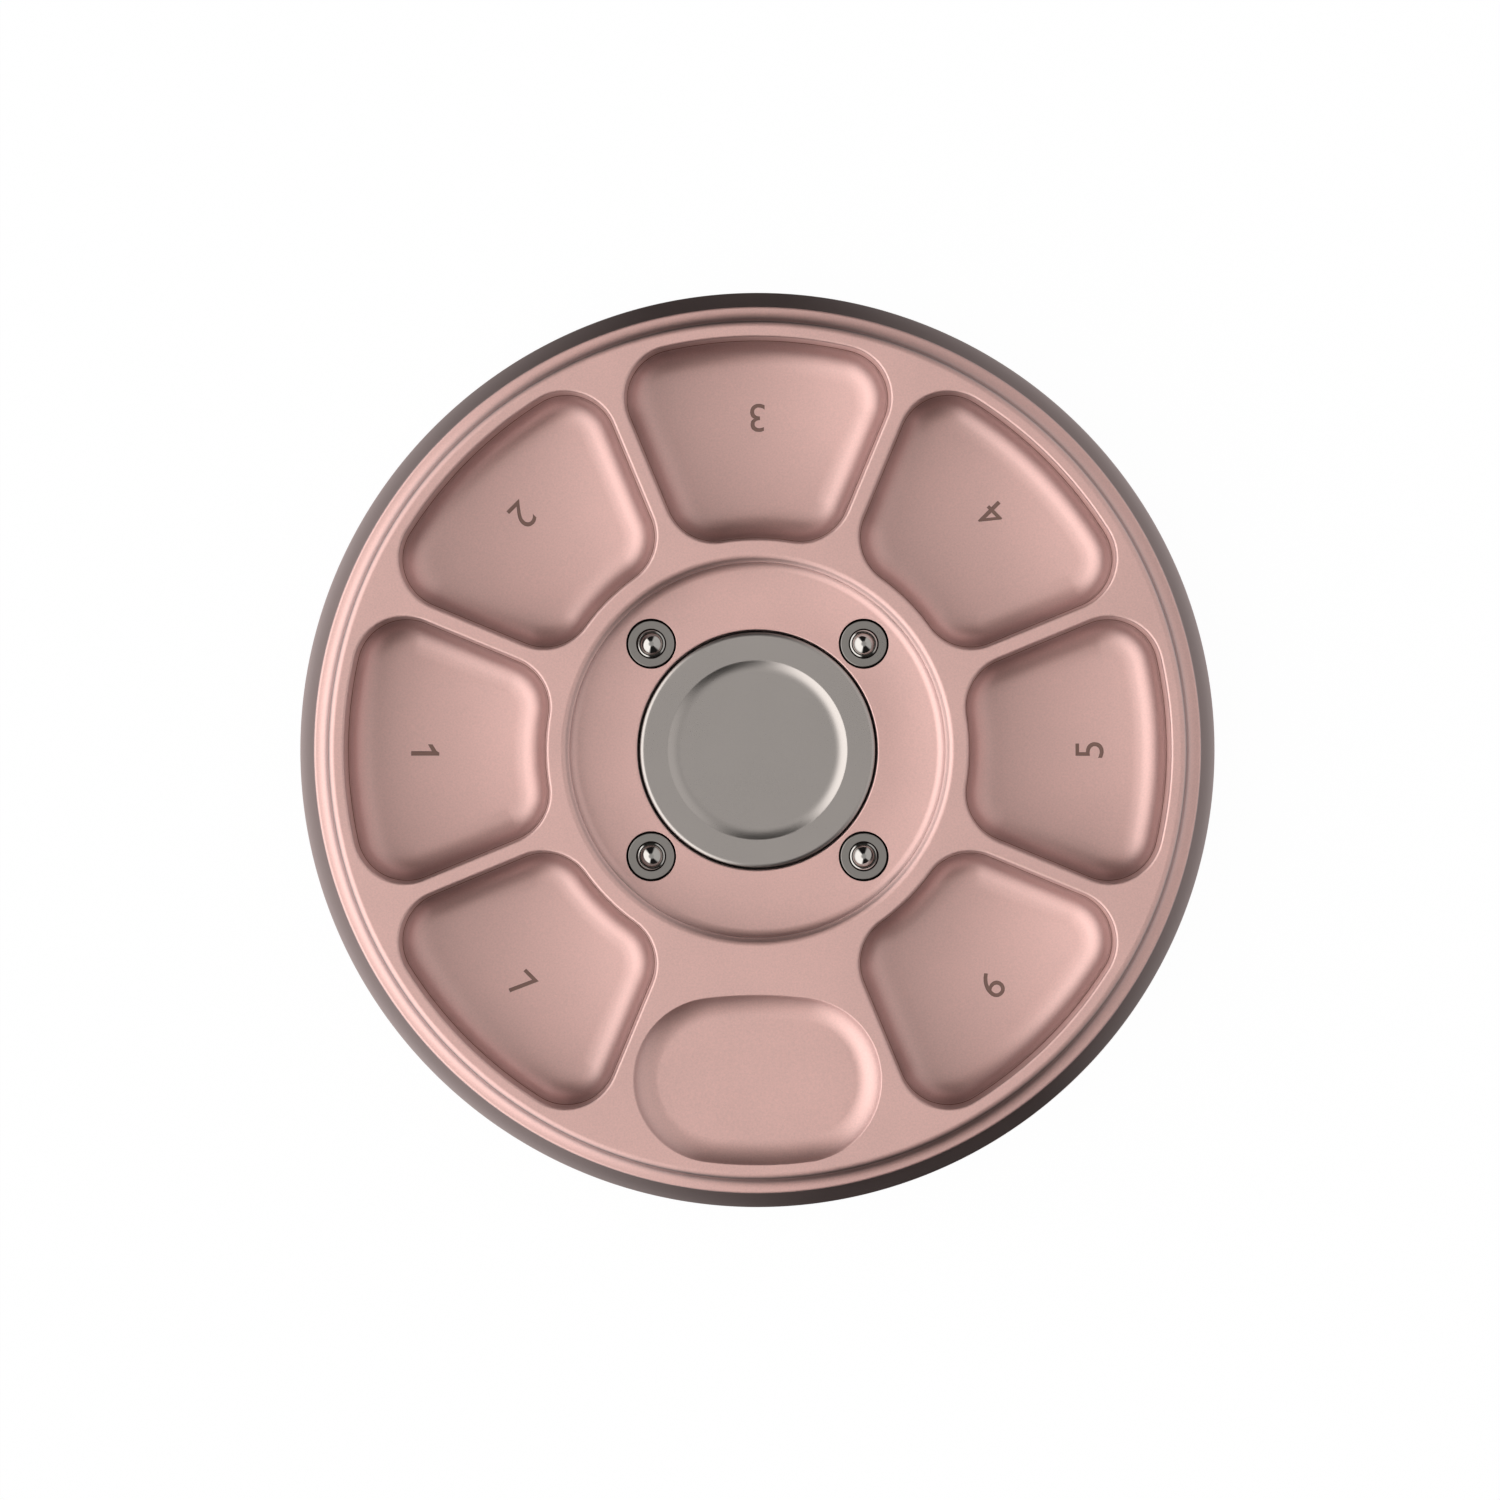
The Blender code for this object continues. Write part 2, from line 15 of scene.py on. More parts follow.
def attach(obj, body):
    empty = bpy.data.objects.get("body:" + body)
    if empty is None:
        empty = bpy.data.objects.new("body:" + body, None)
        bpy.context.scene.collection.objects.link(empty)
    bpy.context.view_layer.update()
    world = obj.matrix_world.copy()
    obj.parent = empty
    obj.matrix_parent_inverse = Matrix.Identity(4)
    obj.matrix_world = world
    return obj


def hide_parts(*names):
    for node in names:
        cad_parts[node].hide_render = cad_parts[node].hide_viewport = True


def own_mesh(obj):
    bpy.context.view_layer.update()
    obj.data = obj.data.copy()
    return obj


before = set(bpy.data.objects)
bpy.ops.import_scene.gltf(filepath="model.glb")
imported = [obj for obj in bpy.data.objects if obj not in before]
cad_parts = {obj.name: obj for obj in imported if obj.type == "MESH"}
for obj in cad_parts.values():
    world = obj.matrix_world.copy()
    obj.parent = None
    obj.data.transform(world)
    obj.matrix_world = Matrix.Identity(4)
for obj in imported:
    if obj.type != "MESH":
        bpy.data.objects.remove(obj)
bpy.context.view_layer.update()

MM = 0.001

# Sizes in millimetres: those of the solids, or within a few tenths where that came nearer the photograph
STATIONS = 8
DAY_STATIONS = (4, 3, 2, 1, 0, 7, 5)
THUMB_STATION = 6
PLUNGER_STATIONS = (1, 3, 5, 7)

TOP = 12.5
HUB_FLOOR = 9.0
POCKET_FLOOR = 2.6
UNDERSIDE = 0.5
GROOVE_TOP = 1.5
GROOVE_INNER = 40.0
GROOVE_OUTER = 48.0

CAP_RADIUS = 14.35
CAP_BOTTOM = 6.6
CAP_SHELF = 6.3
CAP_WELL = 14.47
DISH_RADIUS = 10.82
DISH_DEPTH = 0.37
DISH_FILLET = 3.4
CAP_BEVEL = 0.7
SPIGOT_RADIUS = 3.75
SPIGOT_BORE = 1.55
MAGNET_SEAT = 3.8
MAGNET_BOTTOM = 4.1
MAGNET_INNER = 4.05
MAGNET_OUTER = 12.0
MAGNET_WELL = 12.3
MAGNET_EDGE = 0.2

SCREW_RADIUS = 1.5
SCREW_HOLE = 1.8
SCREW_HEAD = 2.75
SCREW_COUNTERBORE = 3.05
SCREW_LOW = 0.8
SCREW_HIGH = 2.1
SCREW_SEAT = 2.4
SCREW_SOCKET = 2.0
SCREW_SOCKET_DEPTH = 0.8
SCREW_EDGE = 0.2
SCREW_TIP_GAP = 0.3
SCREW_FACETS = 6

PLUNGER_CIRCLE = 18.1
PLUNGER_HOLE = 2.84
PLUNGER_RELIEF = 3.0
PLUNGER_RELIEF_DEPTH = 0.8
PLUNGER_SEAT = 2.1
SLEEVE_RADIUS = 2.79
SLEEVE_EDGE = 0.1
SLEEVE_BOTTOM = 2.4
SLEEVE_FLOOR = 3.2
BORE_RADIUS = 1.75
MOUTH_RADIUS = 1.62
LIP = 0.25
LIP_FLARE = 0.19
LIP_GROOVE = 0.11
BALL_RADIUS = 1.7
BALL_HEIGHT = 8.0881
SPRING_WIRE = 0.3
SPRING_COIL = 1.2
SPRING_LOW = 3.4
SPRING_TURNS = 3.5
SPRING_CLEARANCE = 0.05

HUB_WALL = 22.75
HUB_LEVEL = 15.6
HUB_HOLLOW = 48.0
HUB_TILT = 7
HUB_SLOPE = 50
HUB_STEP = 0.2
HUB_FLOOR_FILLET = 1.4
HUB_EDGE_FILLET = 0.9
POCKET_INNER = 25.38
POCKET_OUTER = 49.6
POCKET_CORNER = 6.2
POCKET_DRAFT = 0.27
POCKET_FILLET = 3.15
POCKET_SWEEP = 11.0
POCKET_SWEEP_ANGLE = 6
RIB_THICKNESS = 1.95
THUMB_OUTER = 49.81
THUMB_LENGTH = 29.8
THUMB_WIDTH = 20.4
THUMB_DEPTH = 1.6
THUMB_FILLET = 3.6
RIM_WALL = 51.6
RIM_EDGE_FILLET = 0.85
RIM_STEP_DEPTH = 2.6
RIM_STEP_FILLET = 1.36
RIM_STEP_SWEEP = 3.3
RIM_STEP_TILT = 14
LEDGE_TILT = 6
LEDGE_EDGE_FILLET = 0.4
SKIRT_FLARE = 14
SKIRT_RADIUS = 55.47
SKIRT_EDGE_FILLET = 0.8
FOOT_GAP = 0.3
FOOT_BEVEL = 0.3

# Finer than the solids carry: broken edges, the compartments' seam and hollow, fine steps
POCKET_BREAK = 0.36
POCKET_SEAM = 0.07
POCKET_SEAM_DEPTH = 0.2
POCKET_HOLLOW = 90.0
POCKET_MIDDLE = 37.0
THUMB_BREAK = 0.07
WELL_BREAK = 0.2
HOLE_BREAK = 0.06
CAP_BREAK = 0.05
SOCKET_BREAK = 0.08
SOCKET_FLARE = 1.06

# The fine step under the hub's edge. Its points say how far out from the lower wall and how far below the start of
# the edge's arc they are, and the last one how far in from that start and how far below it.
HUB_STEP_POINTS = ((0.05, 0.42), (0.16, 0.34))
HUB_STEP_END = (0.06, 0.07)

# The rolled lip of a sleeve: radius and height over the hub's floor. The foot's radius counts from the lip's outside.
LIP_CREST = ((1.46, 0.04), (1.48, 0.055), (1.5, 0.05))
LIP_FOOT = ((-0.02, -0.09), (0.0, -0.11))
LIP_GROOVE_FLOOR = 0.04
LIP_GROOVE_BREAK = 0.02

# Engraved numerals
NUMERAL_HEIGHT = 3.4
NUMERAL_BASE = 41.95
NUMERAL_DEPTH = 0.09
NUMERAL_SLOPE = 0.04
NUMERAL_ONE = ((0.04, 0), (0.2, 0), (0.2, 1), (0.09, 1), (0.03, 0.9), (-0.2, 0.76), (-0.2, 0.6), (0.04, 0.73))

# Numbers of the finishes of the tray, and of those of a sleeve
# The last finish of each is near-black painted shade, for gaps, bores and grooves
ROSE, ENGRAVING_AND_SEAM_SHADE, TURNED, PAINTED_SHADE = range(4)
TURNED_STEEL, POLISHED, GROOVE_PAINTED_SHADE = range(3)

# Fineness
ROUND = 720
MEDIUM_ROUND = 360
MAGNET_ROUND = 180
SMALL_ROUND = 96
SPRING_STEPS = 32
SPRING_SIDES = 12

# Shading: edges sharper than SHARP_ANGLE are hard, faces whose normal is as upright as LEVEL_NORMAL are level, and
# corners that lean less than LEVEL_ANGLE from a level face's normal take it
SHARP_ANGLE = 32
LEVEL_NORMAL = 0.999999
LEVEL_ANGLE = 12

# Grain of the finishes: scale and share of the broad noise, and the levels that noise mostly stays between
BROAD_SCALE = 90
BROAD_SHARE = 0.3
NOISE_LOW = 0.3
NOISE_HIGH = 0.7

# Steep walls: how upright a normal still is where they start and where they count in full, how much is taken off
# their roughness, and which share off their bumps. They also get a darker, greyer colour as painted shade.
STEEP_START = 0.93
STEEP_FULL = 0.35
STEEP_GLOSS = 0.24
STEEP_CALM = 0.8

# The studio: two broad soft lights, left and right, with dim gaps above and below the picture. Each has its bearing,
# half its spread, its level, and the shares left of that at the horizon and by the foot. GAP is the gaps' level, and
# EDGE how many degrees a light's border fades to each side.
LEFT = (194.0, 63.0, 3.0, 0.45, 0.105)
RIGHT = (14.0, 54.0, 1.15, 0.85, 0.2)
GAP = 0.03
EDGE = 9.0

# The height in a direction of length 1 from which a light has its full level, and the soft cap over the top: its
# level, and how many degrees from straight up it ends and is full
FULL_HEIGHT = 0.45
ZENITH = 0.82
ZENITH_END = 28
ZENITH_FULL = 8

# The same lights as painted in the floor's glow: bearing, half spread and a softer edge
FLOOR_LEFT = (191.0, 54.0)
FLOOR_RIGHT = (17.0, 36.0)
FLOOR_EDGE = 36.0

# The floor, in metres. The camera sees FLOOR_WHITE of it plain white and the rest as it is lit. Glossy rays see a
# painted glow of the lights in it, with the tray's painted shadow: a light's glow is FOOT_LIFT times its share by the
# foot under the skirt, falls to that share over FOOT_FALL, and then rises to its share at the horizon over GLOW_RISE.
FLOOR_HALF = 3.0
FLOOR_DROP = 0.00002
FLOOR_COLOUR = 0.9
FLOOR_WHITE = 0.975
FOOT_LIFT = 2.6
FOOT_FALL = (0.0557, 0.0587)
GLOW_RISE = (0.059, 0.130)

# Camera and frame, in millimetres but for the far clip, which is in metres
FRAME_PIXELS = 1500
FRAME_WIDTH = 180.0
CAMERA_DISTANCE = 1000.0
CENTRE_PIXEL = (757.0, 749.5)
SENSOR_WIDTH = 36
CLIP_END = 20


def arc(centre_r, centre_z, radius, start, end, steps):
    """Points of an arc in a profile, angles in degrees, both ends included."""
    points = []
    for i in range(steps + 1):
        a = math.radians(start + (end - start) * i / steps)
        points.append((centre_r + radius * math.cos(a), centre_z + radius * math.sin(a)))
    return points


def onward(point, radius, start, end, steps):
    """Points of an arc that goes on from a point, which is left out."""
    a = math.radians(start)
    return arc(point[0] - radius * math.cos(a), point[1] - radius * math.sin(a), radius, start, end, steps)[1:]


class Hollow:
    """A surface that is level near its middle and rises very gently farther out, as part of a ball would."""

    def __init__(self, middle, floor, level, radius):
        self.middle, self.floor, self.level, self.radius = Vector(middle), floor, level, radius

    def height(self, x, y):
        away = max(0.0, (Vector((x, y)) - self.middle).length - self.level)
        return self.floor + away**2 / (2 * self.radius)

    def raised(self, points):
        return [(x, y, z + self.height(x, y) - self.floor) for x, y, z in points]

    def normal(self, x, y):
        out = Vector((x, y)) - self.middle
        away = max(0.0, out.length - self.level)
        out = out.normalized() * away / self.radius
        return Vector((-out.x, -out.y, 1)).normalized()


class Shell:
    """Vertices and faces of one piece, in millimetres, each face with the number of its finish."""

    def __init__(self):
        self.points = []
        self.faces = []
        self.finishes = []
        self.hollows = {}

    def ring(self, points):
        first = len(self.points)
        self.points.extend(tuple(p) for p in points)
        return list(range(first, len(self.points)))

    def face(self, corners, finish=0, hollow=None):
        if hollow:
            self.hollows[len(self.faces)] = hollow
        self.faces.append(tuple(corners))
        self.finishes.append(finish)

    def bridge(self, upper, lower, finish=0):
        for i in range(len(upper)):
            j = (i + 1) % len(upper)
            self.face((upper[i], lower[i], lower[j], upper[j]), finish)

    def fill(self, outer, holes=(), finish=0):
        """A flat face inside one ring and outside the others."""
        rings = [outer, *holes]
        flat = [i for ring in rings for i in ring]
        lines = [[Vector(self.points[i]) for i in ring] for ring in rings]
        for a, b, c in tessellate_polygon(lines):
            self.face((flat[a], flat[b], flat[c]), finish)

    def fill_hollow(self, rings, hollow, step=1.0, finish=0):
        """A hollow face inside an odd number of the rings, with points of its own a step apart."""
        lines = [np.array([self.points[i][:2] for i in ring]) for ring in rings]
        own = [i for ring in rings for i in ring]
        edges = []
        for ring in rings:
            first = len(edges)
            edges += [(first + k, first + (k + 1) % len(ring)) for k in range(len(ring))]
        low, high = lines[0].min(0), lines[0].max(0)
        grid = np.mgrid[low[0] : high[0] : step, low[1] : high[1] : step].reshape(2, -1).T
        grid = grid[odd_inside(grid, lines)]
        plane = [Vector(q) for q in np.concatenate(lines + [grid])]
        places, _, faces, origins, _, _ = delaunay_2d_cdt(plane, edges, [], 0, 1e-6)
        index = []
        for place, origin in zip(places, origins):
            if origin and min(origin) < len(own):
                index.append(own[min(origin)])
            else:
                index += self.ring([(place.x, place.y, hollow.height(place.x, place.y))])
        spots = np.array([place[:] for place in places])
        middles = np.array([spots[list(face)].mean(0) for face in faces])
        for face, inside in zip(faces, odd_inside(middles, lines)):
            if inside:
                self.face([index[i] for i in face], finish, hollow)

    def circle(self, radius, height, steps, centre=(0, 0)):
        points = []
        for i in range(steps):
            a = 2 * math.pi * i / steps
            points.append((centre[0] + radius * math.cos(a), centre[1] + radius * math.sin(a), height))
        return self.ring(points)

    def turn(self, profile, steps, centre=(0, 0), closed=False, finish=0):
        """A profile turned round Z. A point on the axis becomes one vertex. Returns the rings.

        Finish is one number, or a list with one for each part of the profile.
        """
        rings = []
        for radius, height in profile:
            if radius < 1e-6:
                rings.append(self.ring([(centre[0], centre[1], height)]))
            else:
                rings.append(self.circle(radius, height, steps, centre))
        pairs = list(zip(rings, rings[1:]))
        if closed:
            pairs.append((rings[-1], rings[0]))
        finishes = finish if isinstance(finish, list) else [finish] * len(pairs)
        for (first, second), own in zip(pairs, finishes):
            if len(first) == 1 and len(second) > 1:
                self.fan(first[0], second, own)
            elif len(second) == 1 and len(first) > 1:
                self.fan(second[0], first, own)
            elif len(first) > 1:
                self.bridge(first, second, own)
        return rings

    def fan(self, middle, ring, finish=0):
        for i in range(len(ring)):
            self.face((middle, ring[i], ring[(i + 1) % len(ring)]), finish)

    def make(self, name, finishes, body, nodes):
        """The object of this shell: closed, smooth but for its edges, and level where its faces are level."""
        bm = bmesh.new()
        verts = [bm.verts.new([MM * c for c in p]) for p in self.points]
        for corners, finish in zip(self.faces, self.finishes):
            face = bm.faces.new([verts[i] for i in corners])
            face.material_index = finish
        bmesh.ops.recalc_face_normals(bm, faces=bm.faces)
        mesh = bpy.data.meshes.new(name)
        bm.to_mesh(mesh)
        bm.free()
        mesh.shade_smooth()
        mesh.set_sharp_from_angle(angle=math.radians(SHARP_ANGLE))
        level_normals(mesh, self.hollows)
        for finish in finishes:
            mesh.materials.append(finish)
        obj = bpy.data.objects.new(name, mesh)
        bpy.context.scene.collection.objects.link(obj)
        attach(obj, body)
        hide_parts(*nodes)
        return obj


def level_normals(mesh, hollows):
    """Level faces point straight up or down, or follow their shallow hollow, and so does what meets them smoothly."""
    corners = np.empty(len(mesh.loops) * 3, np.float32)
    mesh.corner_normals.foreach_get("vector", corners)
    corners = corners.reshape(-1, 3)
    of_vertex = np.empty(len(mesh.loops), np.int32)
    mesh.loops.foreach_get("vertex_index", of_vertex)
    own = np.zeros(len(mesh.loops), bool)
    aims = np.zeros((len(mesh.vertices), 3), np.float32)
    for polygon in mesh.polygons:
        hollow = hollows.get(polygon.index)
        if not hollow and abs(polygon.normal.z) < LEVEL_NORMAL:
            continue
        own[polygon.loop_start : polygon.loop_start + polygon.loop_total] = True
        for i in polygon.vertices:
            x, y = mesh.vertices[i].co.xy / MM
            aims[i] = hollow.normal(x, y) if hollow else (0, 0, math.copysign(1, polygon.normal.z))
    aims = aims[of_vertex]
    chosen = own | ((corners * aims).sum(1) > math.cos(math.radians(LEVEL_ANGLE)))
    corners[chosen] = aims[chosen]
    mesh.normals_split_custom_set(corners.tolist())


def odd_inside(points, lines):
    """Which points lie inside an odd number of closed lines."""
    odd = np.zeros(len(points), bool)
    x, y = points[:, 0, None], points[:, 1, None]
    for line in lines:
        (ax, ay), (bx, by) = line.T, np.roll(line, -1, 0).T
        spans = (ay > y) != (by > y)
        steep = np.where(by == ay, 1.0, by - ay)
        odd ^= ((x < ax + (y - ay) * (bx - ax) / steep) & spans).sum(1) % 2 == 1
    return odd


def polar(radius, angle):
    return Vector((radius * math.cos(angle), radius * math.sin(angle)))


def sweep(centre, radius, start, end, steps, last=False):
    return [centre + polar(radius, start + (end - start) * i / steps) for i in range(steps + last)]


def mirrored(half):
    return half + [Vector((p.x, -p.y)) for p in reversed(half[1:-1])]


def pocket_outline(inset):
    """A compartment's plan about +X."""
    side = math.pi / STATIONS
    corner = POCKET_CORNER - inset
    reach = POCKET_CORNER + RIB_THICKNESS / 2
    far = POCKET_OUTER - POCKET_CORNER
    near = POCKET_INNER + POCKET_CORNER
    far_angle = side - math.asin(reach / far)
    near_angle = side - math.asin(reach / near)
    across = side + math.pi / 2
    origin = Vector((0, 0))
    half = sweep(origin, POCKET_OUTER - inset, 0, far_angle, 24)
    half += sweep(polar(far, far_angle), corner, far_angle, across, 22, True)
    half += sweep(polar(near, near_angle), corner, across, near_angle + math.pi, 22)
    half += sweep(origin, POCKET_INNER + inset, near_angle, 0, 16, True)
    return mirrored(half)


def thumb_outline(inset):
    """The thumb recess's plan about +X."""
    middle = THUMB_OUTER - THUMB_WIDTH / 2
    half_length = THUMB_LENGTH / 2
    end = (THUMB_OUTER**2 - middle**2 - half_length**2) / (2 * (THUMB_OUTER - half_length))
    centre = Vector((middle, half_length - end))
    meet = math.atan2(centre.y, centre.x)
    half = sweep(Vector((0, 0)), THUMB_OUTER - inset, 0, meet, 16)
    half += sweep(centre, end - inset, meet, math.pi - meet, 48)
    half += sweep(Vector((2 * middle, 0)), THUMB_OUTER - inset, math.pi - meet, math.pi, 16, True)
    return mirrored(half)


def placed(outline, height, station):
    turn = 2 * math.pi * station / STATIONS
    c, s = math.cos(turn), math.sin(turn)
    return [(p.x * c - p.y * s, p.x * s + p.y * c, height) for p in outline]


def pocket_hollow(station):
    return Hollow(polar(POCKET_MIDDLE, 2 * math.pi * station / STATIONS), POCKET_FLOOR, 0.0, POCKET_HOLLOW)


def numeral_loops(text):
    """The outlines of a numeral and its triangles, its base on y = 0 and centred on x = 0, in millimetres."""
    if text == "1":
        line = list(range(len(NUMERAL_ONE)))
        return NUMERAL_HEIGHT * np.array(NUMERAL_ONE), [line], [line]
    curve = bpy.data.curves.new("numeral", "FONT")
    curve.body = text
    curve.resolution_u = 6
    word = bpy.data.objects.new("numeral", curve)
    bpy.context.scene.collection.objects.link(word)
    bpy.context.view_layer.update()
    mesh = bpy.data.meshes.new_from_object(word.evaluated_get(bpy.context.evaluated_depsgraph_get()))
    bpy.data.objects.remove(word, do_unlink=True)
    bm = bmesh.new()
    bm.from_mesh(mesh)
    bpy.data.meshes.remove(mesh)
    bmesh.ops.remove_doubles(bm, verts=bm.verts, dist=1e-5)
    bm.normal_update()
    for face in bm.faces:
        if face.normal.z < 0:
            face.normal_flip()
    bm.verts.index_update()
    points = np.array([v.co[:2] for v in bm.verts], float)
    faces = [[v.index for v in f.verts] for f in bm.faces]
    after = {}
    for face in bm.faces:
        for loop in face.loops:
            if len(loop.edge.link_faces) == 1:
                after[loop.vert.index] = loop.link_loop_next.vert.index
    bm.free()
    loops = []
    while after:
        start, step = after.popitem()
        line = [start]
        while step != start:
            line.append(step)
            step = after.pop(step)
        loops.append(line)
    low, high = points.min(0), points.max(0)
    scale = NUMERAL_HEIGHT / (high[1] - low[1])
    points = (points - ((low[0] + high[0]) / 2, low[1])) * scale
    return points, faces, loops


def sunk_points(points, loops):
    """Each outline point moved into the stroke by the slope of the engraved side."""
    moved = points.copy()
    for loop in loops:
        line = points[loop]
        ahead = np.roll(line, -1, 0) - line
        ahead /= np.linalg.norm(ahead, axis=1)[:, None]
        behind = np.roll(ahead, 1, 0)
        inward = np.stack((-(ahead + behind)[:, 1], (ahead + behind)[:, 0]), 1)
        inward /= np.maximum(np.linalg.norm(inward, axis=1)[:, None], 1e-9)
        moved[loop] = line + NUMERAL_SLOPE * inward
    return moved


def engrave(shell, floor, text, station):
    """Fills a compartment's floor, with a numeral sunk into it whose top points to the tray's middle."""
    turn = 2 * math.pi * station / STATIONS
    out = Vector((math.cos(turn), math.sin(turn)))
    right = Vector((-out.y, out.x))

    def to_tray(points, height):
        return [
            (
                NUMERAL_BASE * out.x + x * right.x - y * out.x,
                NUMERAL_BASE * out.y + x * right.y - y * out.y,
                height,
            )
            for x, y in points
        ]

    hollow = pocket_hollow(station)
    points, faces, loops = numeral_loops(text)
    upper = shell.ring(hollow.raised(to_tray(points, POCKET_FLOOR)))
    lower = shell.ring(hollow.raised(to_tray(sunk_points(points, loops), POCKET_FLOOR - NUMERAL_DEPTH)))
    rims = [[upper[i] for i in loop] for loop in loops]
    for rim, loop in zip(rims, loops):
        shell.bridge(rim, [lower[i] for i in loop], ENGRAVING_AND_SEAM_SHADE)
    for face in faces:
        shell.face([lower[i] for i in face], ENGRAVING_AND_SEAM_SHADE, hollow)
    shell.fill_hollow([floor, *rims], hollow)


def add_pocket(shell, station, text):
    """A compartment: broken edge, leaning wall, fine seam painted darker as shade, round foot and engraved floor.

    Returns its ring in the top.
    """
    edge = arc(-POCKET_BREAK, TOP - POCKET_BREAK, POCKET_BREAK, 90, 4, 5)
    a = math.radians(POCKET_SWEEP_ANGLE)
    foot = POCKET_FLOOR + POCKET_FILLET * math.cos(a) + POCKET_SWEEP * (1 - math.cos(a))
    reach = POCKET_DRAFT + POCKET_FILLET + (POCKET_SWEEP - POCKET_FILLET) * math.sin(a)
    inset = POCKET_DRAFT - POCKET_SEAM
    edge += [(inset, foot + POCKET_SEAM_DEPTH), (POCKET_DRAFT, foot)]
    round_foot = arc(POCKET_DRAFT + POCKET_FILLET, foot, POCKET_FILLET, 180, 270 - POCKET_SWEEP_ANGLE, 26)[1:]
    round_foot += arc(reach, POCKET_FLOOR + POCKET_SWEEP, POCKET_SWEEP, 270 - POCKET_SWEEP_ANGLE, 270, 9)[1:]
    hollow = pocket_hollow(station)
    rings = []
    for i, (inset, height) in enumerate(edge + round_foot):
        points = placed(pocket_outline(inset), height, station)
        rings.append(shell.ring(points if i < len(edge) - 2 else hollow.raised(points)))
    for i, (upper, lower) in enumerate(zip(rings, rings[1:])):
        # The seam's face takes the engraving's darker rose as painted shade
        shell.bridge(upper, lower, ENGRAVING_AND_SEAM_SHADE if i == len(edge) - 2 else ROSE)
    engrave(shell, rings[-1], text, station)
    return rings[0]


def add_thumb(shell):
    rise = math.degrees(math.acos(1 - THUMB_DEPTH / THUMB_FILLET))
    width = THUMB_FILLET * math.sin(math.radians(rise))
    side = arc(width, TOP - THUMB_DEPTH + THUMB_FILLET, THUMB_FILLET, 270 - rise, 270, 24)
    edge = [(-THUMB_BREAK, TOP), (-0.4 * THUMB_BREAK, TOP - 0.25 * THUMB_BREAK)]
    rings = []
    for inset, height in edge + side[1:]:
        rings.append(shell.ring(placed(thumb_outline(inset), height, THUMB_STATION)))
    for upper, lower in zip(rings, rings[1:]):
        shell.bridge(upper, lower)
    shell.fill(rings[-1])
    return rings[0]


def plunger_centre(station):
    angle = 2 * math.pi * station / STATIONS
    return (PLUNGER_CIRCLE * math.cos(angle), PLUNGER_CIRCLE * math.sin(angle))


